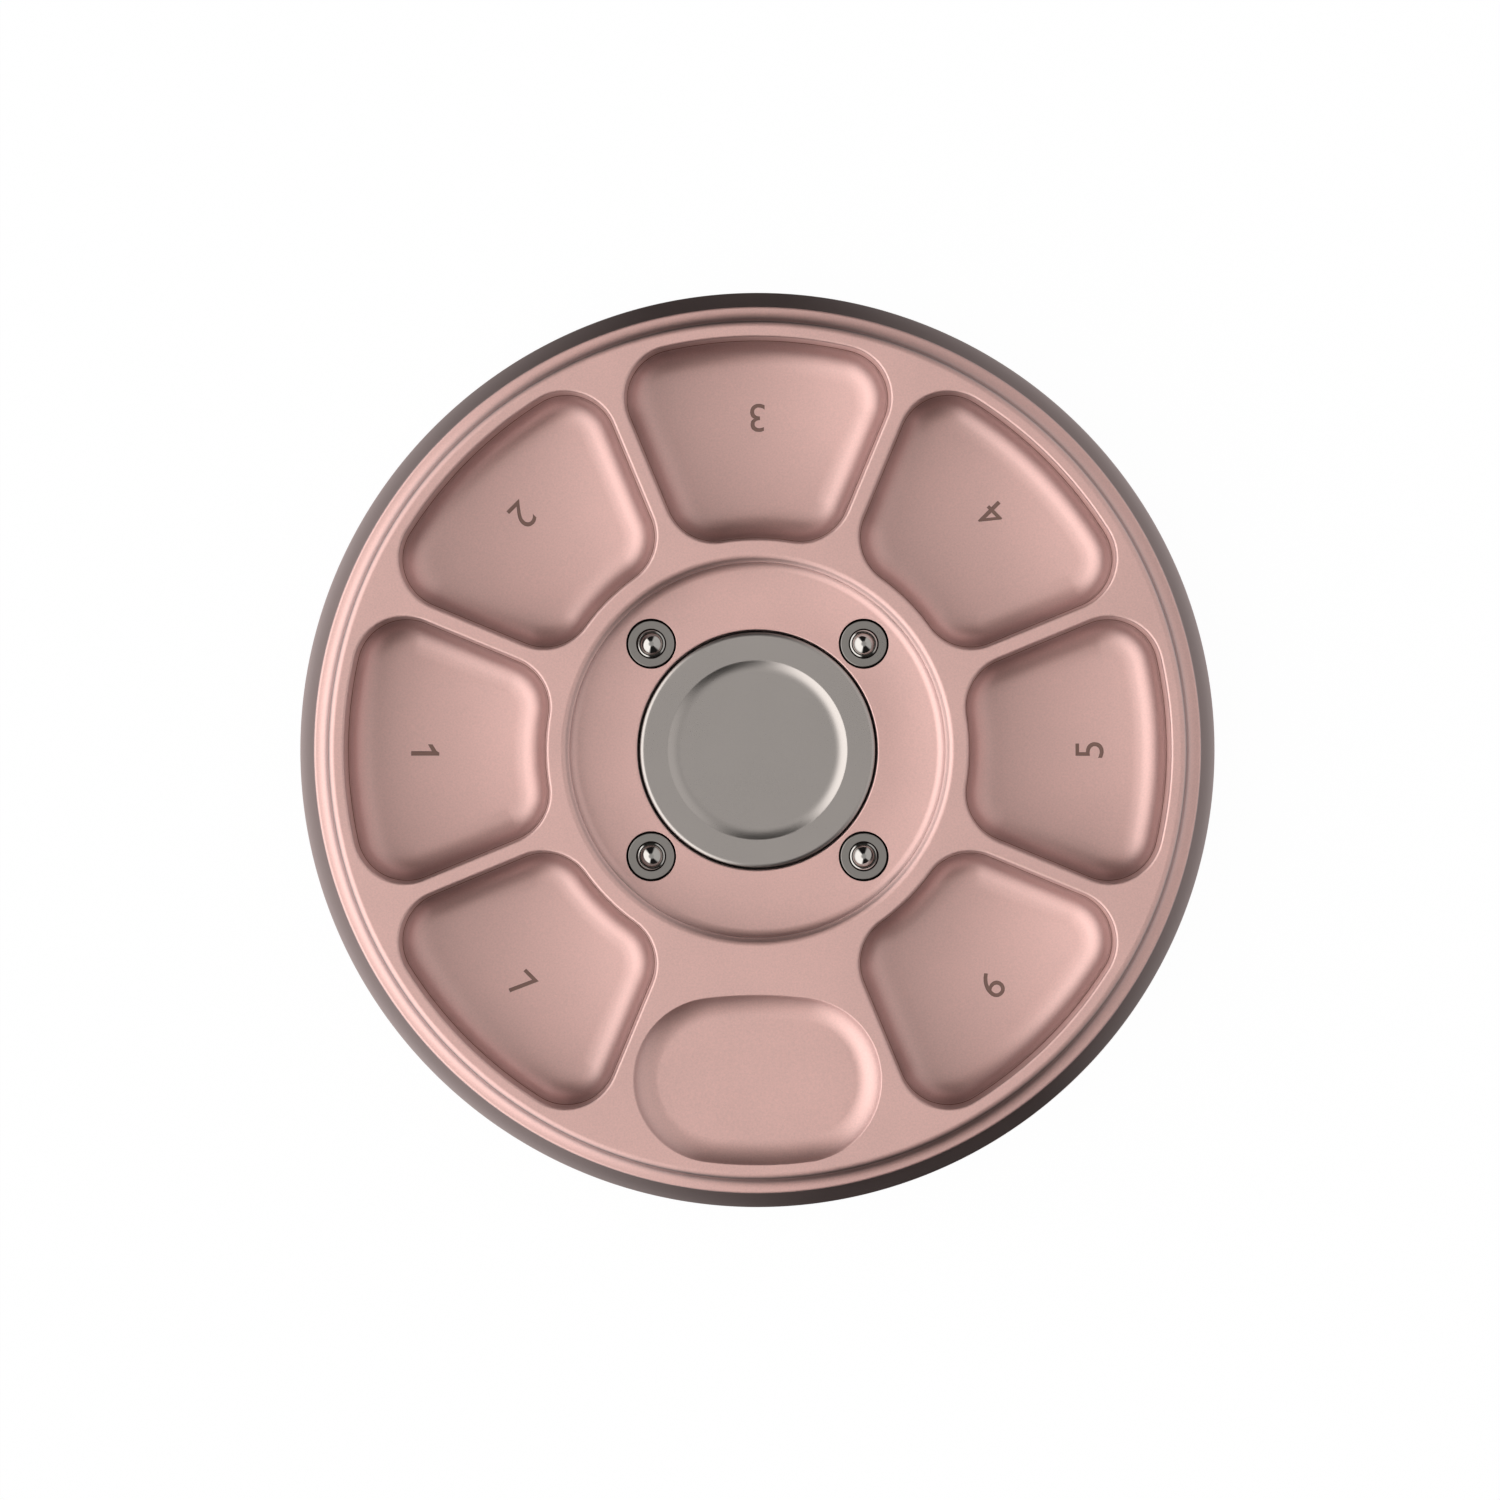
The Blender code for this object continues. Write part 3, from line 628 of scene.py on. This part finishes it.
def make_tray(rose, engraving_and_seam_shade, turned, painted_shade):
    shell = Shell()
    top_holes = [add_pocket(shell, s, str(n)) for n, s in enumerate(DAY_STATIONS, 1)]
    top_holes.append(add_thumb(shell))

    hub = Hollow((0, 0), HUB_FLOOR, HUB_LEVEL, HUB_HOLLOW)
    foot_r = HUB_WALL - HUB_FLOOR_FILLET + HUB_FLOOR_FILLET * math.sin(math.radians(HUB_TILT))
    hub_wall = [(foot_r, hub.height(foot_r, 0))]
    hub_wall += onward(hub_wall[0], HUB_FLOOR_FILLET, 270 + HUB_TILT, 270 + HUB_SLOPE, 14)
    r, z = hub_wall[-1]
    low_r = HUB_WALL - HUB_STEP
    hub_wall.append((low_r, z + (low_r - r) * math.tan(math.radians(HUB_SLOPE))))
    high = arc(HUB_WALL + HUB_EDGE_FILLET, TOP - HUB_EDGE_FILLET, HUB_EDGE_FILLET, 135, 90, 12)
    r, z = high[0]
    hub_wall += [(low_r + out, z - down) for out, down in HUB_STEP_POINTS]
    hub_wall += [(r - HUB_STEP_END[0], z - HUB_STEP_END[1]), *high]
    wall_rings = shell.turn(hub_wall, ROUND)

    ledge = TOP - RIM_STEP_DEPTH
    outside = arc(RIM_WALL - RIM_EDGE_FILLET, TOP - RIM_EDGE_FILLET, RIM_EDGE_FILLET, 90, 0, 18)
    outside += arc(RIM_WALL + RIM_STEP_FILLET, ledge + RIM_STEP_FILLET, RIM_STEP_FILLET, 180, 270 - RIM_STEP_TILT, 18)
    outside += onward(outside[-1], RIM_STEP_SWEEP, 270 - RIM_STEP_TILT, 270 - LEDGE_TILT, 5)
    outside += onward(outside[-1], LEDGE_EDGE_FILLET, 90 - LEDGE_TILT, SKIRT_FLARE, 10)
    rim_rings = shell.turn(outside, ROUND)
    skirt_r = SKIRT_RADIUS - SKIRT_EDGE_FILLET
    skirt = arc(skirt_r, UNDERSIDE + SKIRT_EDGE_FILLET, SKIRT_EDGE_FILLET, SKIRT_FLARE, -90, 14)
    skirt_rings = shell.turn(skirt, ROUND, finish=TURNED)
    shell.bridge(rim_rings[-1], skirt_rings[0], TURNED)
    outside = [(GROOVE_OUTER, UNDERSIDE), (GROOVE_OUTER, GROOVE_TOP)]
    outside += [(GROOVE_INNER, GROOVE_TOP), (GROOVE_INNER, UNDERSIDE)]
    outside += [(SCREW_COUNTERBORE, UNDERSIDE), (SCREW_COUNTERBORE, SCREW_SEAT)]
    outside += [(SCREW_HOLE, SCREW_SEAT), (SCREW_HOLE, MAGNET_SEAT)]
    outside += [(MAGNET_WELL, MAGNET_SEAT), (MAGNET_WELL, CAP_SHELF), (CAP_WELL, CAP_SHELF)]
    outer_rings = shell.turn(outside, ROUND)
    well_rings = shell.turn(arc(CAP_WELL + WELL_BREAK, HUB_FLOOR - WELL_BREAK, WELL_BREAK, 180, 90, 4), ROUND)
    # The wall of the cap's well is painted near-black as shade in the gap round the cap
    shell.bridge(outer_rings[-1], well_rings[0], PAINTED_SHADE)
    shell.bridge(skirt_rings[-1], outer_rings[0])

    shell.fill(rim_rings[0], [wall_rings[-1], *top_holes])
    floor_holes = []
    for station in PLUNGER_STATIONS:
        relief = HUB_FLOOR - PLUNGER_RELIEF_DEPTH
        centre = plunger_centre(station)
        edge = arc(PLUNGER_RELIEF + HOLE_BREAK, HUB_FLOOR - HOLE_BREAK, HOLE_BREAK, 90, 180, 3)
        bore = [(PLUNGER_RELIEF, HUB_FLOOR - 2 * HOLE_BREAK), (PLUNGER_RELIEF, relief), (PLUNGER_HOLE, relief)]
        bore += [(PLUNGER_HOLE, PLUNGER_SEAT), (0, PLUNGER_SEAT)]
        # The relief and bore round each plunger are painted near-black as shade
        finishes = [ROSE] * (len(edge) - 1) + [PAINTED_SHADE] * len(bore)
        rings = shell.turn(edge + bore, SMALL_ROUND, centre, finish=finishes)
        for ring in rings[: len(edge) + 1]:
            for i in ring:
                x, y, z = shell.points[i]
                shell.points[i] = (x, y, z + hub.height(x, y) - HUB_FLOOR)
        floor_holes.append(rings[0])
    shell.fill_hollow([wall_rings[0], well_rings[-1], *floor_holes], hub)
    return shell.make("tray_body_fine", [rose, engraving_and_seam_shade, turned, painted_shade], "case", ["tray_body"])


def make_cap(finish):
    dish = HUB_FLOOR - DISH_DEPTH
    rise = math.degrees(math.acos(1 - DISH_DEPTH / DISH_FILLET))
    foot = DISH_RADIUS - DISH_FILLET * math.sin(math.radians(rise))
    side = arc(foot, dish + DISH_FILLET, DISH_FILLET, 270, 270 + rise, 22)
    profile = [(0, dish)] + side[:-1]
    profile += [(DISH_RADIUS - 0.3 * CAP_BREAK, HUB_FLOOR - 0.5 * CAP_BREAK), (DISH_RADIUS + CAP_BREAK, HUB_FLOOR)]
    profile += arc(CAP_RADIUS - CAP_BEVEL, HUB_FLOOR - CAP_BEVEL, CAP_BEVEL, 90, 0, 10)
    profile += [(CAP_RADIUS, CAP_BOTTOM), (SPIGOT_RADIUS, CAP_BOTTOM), (SPIGOT_RADIUS, MAGNET_BOTTOM)]
    profile += [(SPIGOT_BORE, MAGNET_BOTTOM), (SPIGOT_BORE, CAP_BOTTOM), (0, CAP_BOTTOM)]
    shell = Shell()
    shell.turn(profile, MEDIUM_ROUND)
    return shell.make("centre_cap_fine", [finish], "case", ["centre_cap"])


def make_magnet(finish):
    shell = Shell()
    edge = MAGNET_OUTER - MAGNET_EDGE
    profile = arc(edge, CAP_SHELF - MAGNET_EDGE, MAGNET_EDGE, 90, 0, 4)
    profile += arc(edge, MAGNET_BOTTOM + MAGNET_EDGE, MAGNET_EDGE, 0, -90, 4)
    profile += [(MAGNET_INNER, MAGNET_BOTTOM), (MAGNET_INNER, CAP_SHELF)]
    shell.turn(profile, MAGNET_ROUND, closed=True)
    return shell.make("ring_magnet_fine", [finish], "case", ["ring_magnet"])


def make_screw(finish):
    """The screw that shows from below: a low head with a hexagon socket."""
    shell = Shell()
    tip = CAP_BOTTOM - SCREW_TIP_GAP
    profile = [(0, tip), (SCREW_RADIUS, tip), (SCREW_RADIUS, SCREW_HIGH), (SCREW_HEAD, SCREW_HIGH)]
    profile += arc(SCREW_HEAD - SCREW_EDGE, SCREW_LOW + SCREW_EDGE, SCREW_EDGE, 0, -90, 5)
    rings = shell.turn(profile, SMALL_ROUND)
    corner = SCREW_SOCKET / 2 / math.cos(math.pi / SCREW_FACETS)
    chamfer = shell.circle(SOCKET_FLARE * corner, SCREW_LOW, SCREW_FACETS)
    mouth = shell.circle(corner, SCREW_LOW + SOCKET_BREAK, SCREW_FACETS)
    bottom = shell.circle(corner, SCREW_LOW + SCREW_SOCKET_DEPTH, SCREW_FACETS)
    shell.fill(rings[-1], [chamfer])
    shell.bridge(chamfer, mouth)
    shell.bridge(mouth, bottom)
    shell.fill(bottom)
    return shell.make("cap_screw_fine", [finish], "case", ["cap_screw"])


def make_foot(finish):
    inner, outer, top = GROOVE_INNER + FOOT_GAP, GROOVE_OUTER - FOOT_GAP, GROOVE_TOP - FOOT_GAP
    profile = [(inner, top), (outer, top)]
    profile += arc(outer - FOOT_BEVEL, FOOT_BEVEL, FOOT_BEVEL, 0, -90, 6)
    profile += arc(inner + FOOT_BEVEL, FOOT_BEVEL, FOOT_BEVEL, -90, -180, 6)
    shell = Shell()
    shell.turn(profile, MEDIUM_ROUND, closed=True)
    return shell.make("foot_ring_fine", [finish], "case", ["foot_ring"])


def make_plunger(number, station, sleeve_finish, ball_finish, spring_finish, painted_shade):
    centre = plunger_centre(station)
    lip = HUB_FLOOR - LIP
    mouth = MOUTH_RADIUS + LIP_FLARE
    outer_lip = mouth - LIP_GROOVE
    inner = [(0, SLEEVE_FLOOR), (BORE_RADIUS, SLEEVE_FLOOR), (BORE_RADIUS, lip), (MOUTH_RADIUS, lip)]
    inner += [(r, HUB_FLOOR + up) for r, up in LIP_CREST]
    inner += [(outer_lip + out, HUB_FLOOR + up) for out, up in LIP_FOOT]
    groove = [(outer_lip, lip + LIP_GROOVE_FLOOR), (mouth, lip + LIP_GROOVE_FLOOR)]
    groove += [(mouth, HUB_FLOOR - LIP_GROOVE_BREAK), (mouth + LIP_GROOVE_BREAK, HUB_FLOOR)]
    outer = arc(SLEEVE_RADIUS - SLEEVE_EDGE, HUB_FLOOR - SLEEVE_EDGE, SLEEVE_EDGE, 90, 0, 4)
    outer += [(SLEEVE_RADIUS, SLEEVE_BOTTOM), (0, SLEEVE_BOTTOM)]
    shell = Shell()
    # The groove round the sleeve's lip is painted near-black as shade
    parts = [POLISHED] * (len(inner) - 1) + [GROOVE_PAINTED_SHADE] * (len(groove) - 1) + [TURNED_STEEL] * (len(outer) + 1)
    shell.turn(inner + groove + outer, SMALL_ROUND, centre, finish=parts)
    finishes = [sleeve_finish, ball_finish, painted_shade]
    shell.make(f"plunger_sleeve_{number}_fine", finishes, "case", [f"plunger_sleeve_{number}"])

    shell = Shell()
    shell.turn(arc(0, BALL_HEIGHT, BALL_RADIUS, 90, -90, 48), SMALL_ROUND, centre)
    nodes = [f"plunger_ball_{number}"]
    shell.make(f"plunger_ball_{number}_fine", [ball_finish], f"ball_{number}", nodes)

    make_spring(number, centre, spring_finish)


def make_spring(number, centre, finish):
    """A wound wire from the bore's floor to the ball."""
    clear = BALL_RADIUS + SPRING_WIRE / 2 + SPRING_CLEARANCE
    high = BALL_HEIGHT - math.sqrt(clear**2 - SPRING_COIL**2)
    shell = Shell()
    count = int(SPRING_TURNS * SPRING_STEPS)
    rings = []
    for i in range(count + 1):
        share = i / count
        a = 2 * math.pi * SPRING_TURNS * share
        height = SPRING_LOW + (high - SPRING_LOW) * share
        middle = Vector((SPRING_COIL * math.cos(a), SPRING_COIL * math.sin(a), height))
        outward = Vector((math.cos(a), math.sin(a), 0))
        ring = []
        for k in range(SPRING_SIDES):
            b = 2 * math.pi * k / SPRING_SIDES
            p = middle + SPRING_WIRE / 2 * (math.cos(b) * outward + math.sin(b) * Vector((0, 0, 1)))
            ring.append((p.x + centre[0], p.y + centre[1], p.z))
        rings.append(shell.ring(ring))
    for first, second in zip(rings, rings[1:]):
        shell.bridge(first, second)
    shell.face(rings[0])
    shell.face(reversed(rings[-1]))
    obj = shell.make(f"plunger_spring_{number}_fine", [finish], "case", [f"plunger_spring_{number}"])
    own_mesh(obj)


def linear(*srgb):
    """Scene colour of an 8-bit screen colour."""
    values = [v / 255 for v in srgb]
    return tuple(v / 12.92 if v <= 0.04045 else ((v + 0.055) / 1.055) ** 2.4 for v in values)


def make_finish(
    name, colour, metallic, roughness, grain, tone=0.03, spread=0.04, bump=0.25, depth=0.004, coat=None, steep=None
):
    """A grainy finish. Grain is its size in millimetres, tone and spread how far it moves colour and gloss.

    Coat is the index and roughness of a clear layer, such as the oxide on anodised metal. Steep is a darker,
    greyer colour painted on walls as shade. They are also a little glossier and smoother than level faces.
    """
    made = bpy.data.materials.new(name)
    made.use_nodes = True
    nodes, links = made.node_tree.nodes, made.node_tree.links
    shader = nodes["Principled BSDF"]
    shader.inputs["Metallic"].default_value = metallic
    if coat:
        shader.inputs["Coat Weight"].default_value = 1
        shader.inputs["Coat IOR"].default_value = coat[0]
        shader.inputs["Coat Roughness"].default_value = coat[1]
    place = nodes.new("ShaderNodeTexCoord")
    fine = nodes.new("ShaderNodeTexNoise")
    fine.inputs["Scale"].default_value = 1000 / grain
    fine.inputs["Detail"].default_value = 3
    fine.inputs["Roughness"].default_value = 0.6
    links.new(place.outputs["Object"], fine.inputs["Vector"])
    broad = nodes.new("ShaderNodeTexNoise")
    broad.inputs["Scale"].default_value = BROAD_SCALE
    broad.inputs["Detail"].default_value = 2
    links.new(place.outputs["Object"], broad.inputs["Vector"])
    both = nodes.new("ShaderNodeMix")
    both.data_type = "FLOAT"
    both.inputs["Factor"].default_value = BROAD_SHARE
    links.new(fine.outputs["Fac"], both.inputs["A"])
    links.new(broad.outputs["Fac"], both.inputs["B"])
    ramp = nodes.new("ShaderNodeValToRGB")
    ramp.color_ramp.elements[0].position = NOISE_LOW
    ramp.color_ramp.elements[1].position = NOISE_HIGH
    ramp.color_ramp.elements[0].color = (*[max(0.0, c * (1 - tone)) for c in colour], 1)
    ramp.color_ramp.elements[1].color = (*[min(1.0, c * (1 + tone)) for c in colour], 1)
    links.new(both.outputs["Result"], ramp.inputs["Fac"])
    shade = ramp.outputs["Color"]
    # Painted shade: the colour turns to the darker, greyer steep one as a face stands up
    if steep:
        shape = nodes.new("ShaderNodeNewGeometry")
        split = nodes.new("ShaderNodeSeparateXYZ")
        links.new(shape.outputs["Normal"], split.inputs["Vector"])
        upright = maths(made.node_tree, "ABSOLUTE", split.outputs["Z"])
        lean = smooth(made.node_tree, upright, STEEP_FULL, STEEP_START, 1.0, 0.0)
        wall = nodes.new("ShaderNodeMix")
        wall.data_type = "RGBA"
        wall.blend_type = "MULTIPLY"
        wall.inputs["B"].default_value = (*[s / c for s, c in zip(steep, colour)], 1)
        links.new(lean, wall.inputs["Factor"])
        links.new(shade, wall.inputs["A"])
        shade = wall.outputs["Result"]
    links.new(shade, shader.inputs["Base Color"])
    gloss = nodes.new("ShaderNodeMapRange")
    gloss.inputs["From Min"].default_value = NOISE_LOW
    gloss.inputs["From Max"].default_value = NOISE_HIGH
    gloss.inputs["To Min"].default_value = roughness - spread
    gloss.inputs["To Max"].default_value = roughness + spread
    links.new(both.outputs["Result"], gloss.inputs["Value"])
    rough = gloss.outputs["Result"]
    if steep:
        rough = maths(made.node_tree, "MULTIPLY_ADD", lean, -STEEP_GLOSS, rough)
    links.new(rough, shader.inputs["Roughness"])
    relief = nodes.new("ShaderNodeBump")
    relief.inputs["Strength"].default_value = bump
    relief.inputs["Distance"].default_value = depth * MM
    links.new(fine.outputs["Fac"], relief.inputs["Height"])
    if steep:
        strength = maths(made.node_tree, "MULTIPLY_ADD", lean, -STEEP_CALM * bump, bump)
        links.new(strength, relief.inputs["Strength"])
    links.new(relief.outputs["Normal"], shader.inputs["Normal"])
    return made


def maths(tree, operation, a, b=None, c=None):
    """The result of a maths node, whose inputs are numbers or other nodes' results."""
    made = tree.nodes.new("ShaderNodeMath")
    made.operation = operation
    for slot, value in zip(made.inputs, (a, b, c)):
        if value is None:
            continue
        if isinstance(value, (int, float)):
            slot.default_value = value
        else:
            tree.links.new(value, slot)
    return made.outputs["Value"]


def smooth(tree, value, low, high, to_low=0.0, to_high=1.0):
    """A value that goes smoothly from to_low to to_high as the given one goes from low to high."""
    made = tree.nodes.new("ShaderNodeMapRange")
    made.interpolation_type = "SMOOTHSTEP"
    tree.links.new(value, made.inputs["Value"])
    for name, number in (("From Min", low), ("From Max", high), ("To Min", to_low), ("To Max", to_high)):
        made.inputs[name].default_value = number
    return made.outputs["Result"]


def studio(tree, direction, lowered, lights, edge):
    """Brightness of the studio in a direction, and the direction's height.

    Lowered gives the share of a light's level that is left low down, from its shares at the horizon and by the foot.
    """
    split = tree.nodes.new("ShaderNodeSeparateXYZ")
    tree.links.new(direction, split.inputs["Vector"])
    x, y, z = split.outputs
    flat = maths(tree, "SQRT", maths(tree, "ADD", maths(tree, "MULTIPLY", x, x), maths(tree, "MULTIPLY", y, y)))
    flat = maths(tree, "MAXIMUM", flat, 1e-6)
    total = GAP
    for bearing, half, strength, horizon, foot in lights:
        a = math.radians(bearing)
        along = maths(tree, "ADD", maths(tree, "MULTIPLY", x, math.cos(a)), maths(tree, "MULTIPLY", y, math.sin(a)))
        cosine = maths(tree, "DIVIDE", along, flat)
        near = math.cos(math.radians(half + edge))
        far = math.cos(math.radians(half - edge))
        panel = smooth(tree, cosine, near, far, 0.0, strength - GAP)
        panel = maths(tree, "MULTIPLY", panel, lowered(z, flat, horizon, foot))
        total = maths(tree, "ADD", panel, total)
    return total, z


def light_world():
    world = bpy.data.worlds.new("studio")
    bpy.context.scene.world = world
    world.use_nodes = True
    tree = world.node_tree
    tree.nodes.clear()

    def lowered(z, flat, horizon, foot):
        return smooth(tree, z, 0.0, FULL_HEIGHT, horizon, 1.0)

    place = tree.nodes.new("ShaderNodeTexCoord")
    value, z = studio(tree, place.outputs["Generated"], lowered, (LEFT, RIGHT), EDGE)
    top = smooth(tree, z, math.cos(math.radians(ZENITH_END)), math.cos(math.radians(ZENITH_FULL)))
    rest = maths(tree, "SUBTRACT", 1.0, top)
    value = maths(tree, "ADD", maths(tree, "MULTIPLY", value, rest), maths(tree, "MULTIPLY", top, ZENITH))
    lit = tree.nodes.new("ShaderNodeBackground")
    tree.links.new(value, lit.inputs["Strength"])
    white = tree.nodes.new("ShaderNodeBackground")
    path = tree.nodes.new("ShaderNodeLightPath")
    seen = maths(tree, "MAXIMUM", path.outputs["Is Camera Ray"], path.outputs["Is Transmission Ray"])
    mix = tree.nodes.new("ShaderNodeMixShader")
    out = tree.nodes.new("ShaderNodeOutputWorld")
    tree.links.new(seen, mix.inputs["Fac"])
    tree.links.new(lit.outputs["Background"], mix.inputs[1])
    tree.links.new(white.outputs["Background"], mix.inputs[2])
    white.inputs["Color"].default_value = (1, 1, 1, 1)
    tree.links.new(mix.outputs["Shader"], out.inputs["Surface"])


def make_floor():
    mesh = bpy.data.meshes.new("floor")
    corners = [(x * FLOOR_HALF, y * FLOOR_HALF, 0) for x, y in ((-1, -1), (1, -1), (1, 1), (-1, 1))]
    mesh.from_pydata(corners, [], [(0, 1, 2, 3)])
    floor = bpy.data.objects.new("floor", mesh)
    bpy.context.scene.collection.objects.link(floor)
    floor.location = (0, 0, -FLOOR_DROP)
    made = bpy.data.materials.new("white_floor")
    made.use_nodes = True
    tree = made.node_tree
    tree.nodes.clear()

    def lowered(z, flat, horizon, foot):
        near = smooth(tree, flat, *FOOT_FALL, FOOT_LIFT * foot, foot)
        return maths(tree, "ADD", near, smooth(tree, flat, *GLOW_RISE, 0.0, horizon - foot))

    place = tree.nodes.new("ShaderNodeTexCoord")
    lights = (FLOOR_LEFT + LEFT[2:], FLOOR_RIGHT + RIGHT[2:])
    glow, _ = studio(tree, place.outputs["Object"], lowered, lights, FLOOR_EDGE)
    path = tree.nodes.new("ShaderNodeLightPath")
    diffuse = tree.nodes.new("ShaderNodeBsdfDiffuse")
    diffuse.inputs["Color"].default_value = (FLOOR_COLOUR, FLOOR_COLOUR, FLOOR_COLOUR, 1)
    white = tree.nodes.new("ShaderNodeEmission")
    white.inputs["Color"].default_value = (1, 1, 1, 1)
    # Glossy rays see the floor as a painted glow of the lights, with the tray's painted shadow near its foot
    painted_floor_glow = tree.nodes.new("ShaderNodeEmission")
    tree.links.new(glow, painted_floor_glow.inputs["Strength"])
    seen = maths(tree, "MULTIPLY", path.outputs["Is Camera Ray"], FLOOR_WHITE)
    first = tree.nodes.new("ShaderNodeMixShader")
    second = tree.nodes.new("ShaderNodeMixShader")
    out = tree.nodes.new("ShaderNodeOutputMaterial")
    tree.links.new(seen, first.inputs["Fac"])
    tree.links.new(diffuse.outputs["BSDF"], first.inputs[1])
    tree.links.new(white.outputs["Emission"], first.inputs[2])
    tree.links.new(path.outputs["Is Glossy Ray"], second.inputs["Fac"])
    tree.links.new(first.outputs["Shader"], second.inputs[1])
    tree.links.new(painted_floor_glow.outputs["Emission"], second.inputs[2])
    tree.links.new(second.outputs["Shader"], out.inputs["Surface"])
    mesh.materials.append(made)


def make_camera():
    data = bpy.data.cameras.new("camera")
    data.sensor_width = SENSOR_WIDTH
    data.lens = SENSOR_WIDTH * CAMERA_DISTANCE / FRAME_WIDTH
    data.clip_end = CLIP_END
    camera = bpy.data.objects.new("camera", data)
    bpy.context.scene.collection.objects.link(camera)
    pixel = FRAME_WIDTH / FRAME_PIXELS
    middle = (FRAME_PIXELS - 1) / 2
    x = (middle - CENTRE_PIXEL[0]) * pixel
    y = (CENTRE_PIXEL[1] - middle) * pixel
    camera.location = (MM * x, MM * y, MM * (TOP + CAMERA_DISTANCE))
    bpy.context.scene.camera = camera


def dress():
    """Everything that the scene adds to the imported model."""
    make_camera()
    # The walls' darker, greyer rose is painted shade
    rose_wall_painted_shade = linear(183, 164, 163)
    rose = make_finish(
        "rose_anodised", linear(209, 168, 160), 1, 0.55, 0.22, tone=0.12, bump=0.2, coat=(1.7, 0.38), steep=rose_wall_painted_shade
    )
    # Darker rose of the engraved numerals, also painted as shade in the compartments' seams
    engraving_and_seam_shade = make_finish("engraved_rose_and_seam_shade", linear(135, 108, 100), 1, 0.6, 0.12, tone=0.12, bump=0.4)
    turned = make_finish("turned_rose", linear(194, 169, 165), 1, 0.4, 0.16, bump=0.2)
    # Near-black painted shade for gaps, bores and grooves
    painted_shade = make_finish("painted_shade_bore", linear(30, 23, 22), 1, 0.6, 0.16, tone=0.1)
    satin = make_finish("satin_steel", linear(169, 162, 157), 1, 0.3, 0.12, tone=0.02, bump=0.12)
    sleeve = make_finish("turned_steel", linear(143, 138, 133), 1, 0.3, 0.1, bump=0.1)
    polished = make_finish("polished_steel", (0.384, 0.364, 0.342), 1, 0.04, 0.3, tone=0.02, spread=0.015, bump=0.02)
    wire = make_finish("spring_steel", (0.45, 0.45, 0.46), 1, 0.25, 0.08, tone=0.08)
    plated = make_finish("nickel_plate", (0.60, 0.59, 0.56), 1, 0.2, 0.2, tone=0.04, spread=0.06)
    black = make_finish("black_steel", (0.035, 0.034, 0.033), 1, 0.38, 0.12, tone=0.2, spread=0.08)
    rubber = make_finish(
        "grey_rubber", (0.055, 0.05, 0.05), 0, 0.78, 0.25, tone=0.25, spread=0.08, bump=0.6, depth=0.03
    )
    make_tray(rose, engraving_and_seam_shade, turned, painted_shade)
    make_cap(satin)
    make_magnet(plated)
    make_screw(black)
    make_foot(rubber)
    for number, station in enumerate(PLUNGER_STATIONS, 1):
        make_plunger(number, station, sleeve, polished, wire, painted_shade)
    make_floor()
    light_world()
    bpy.context.scene.view_settings.view_transform = "Standard"


dress()
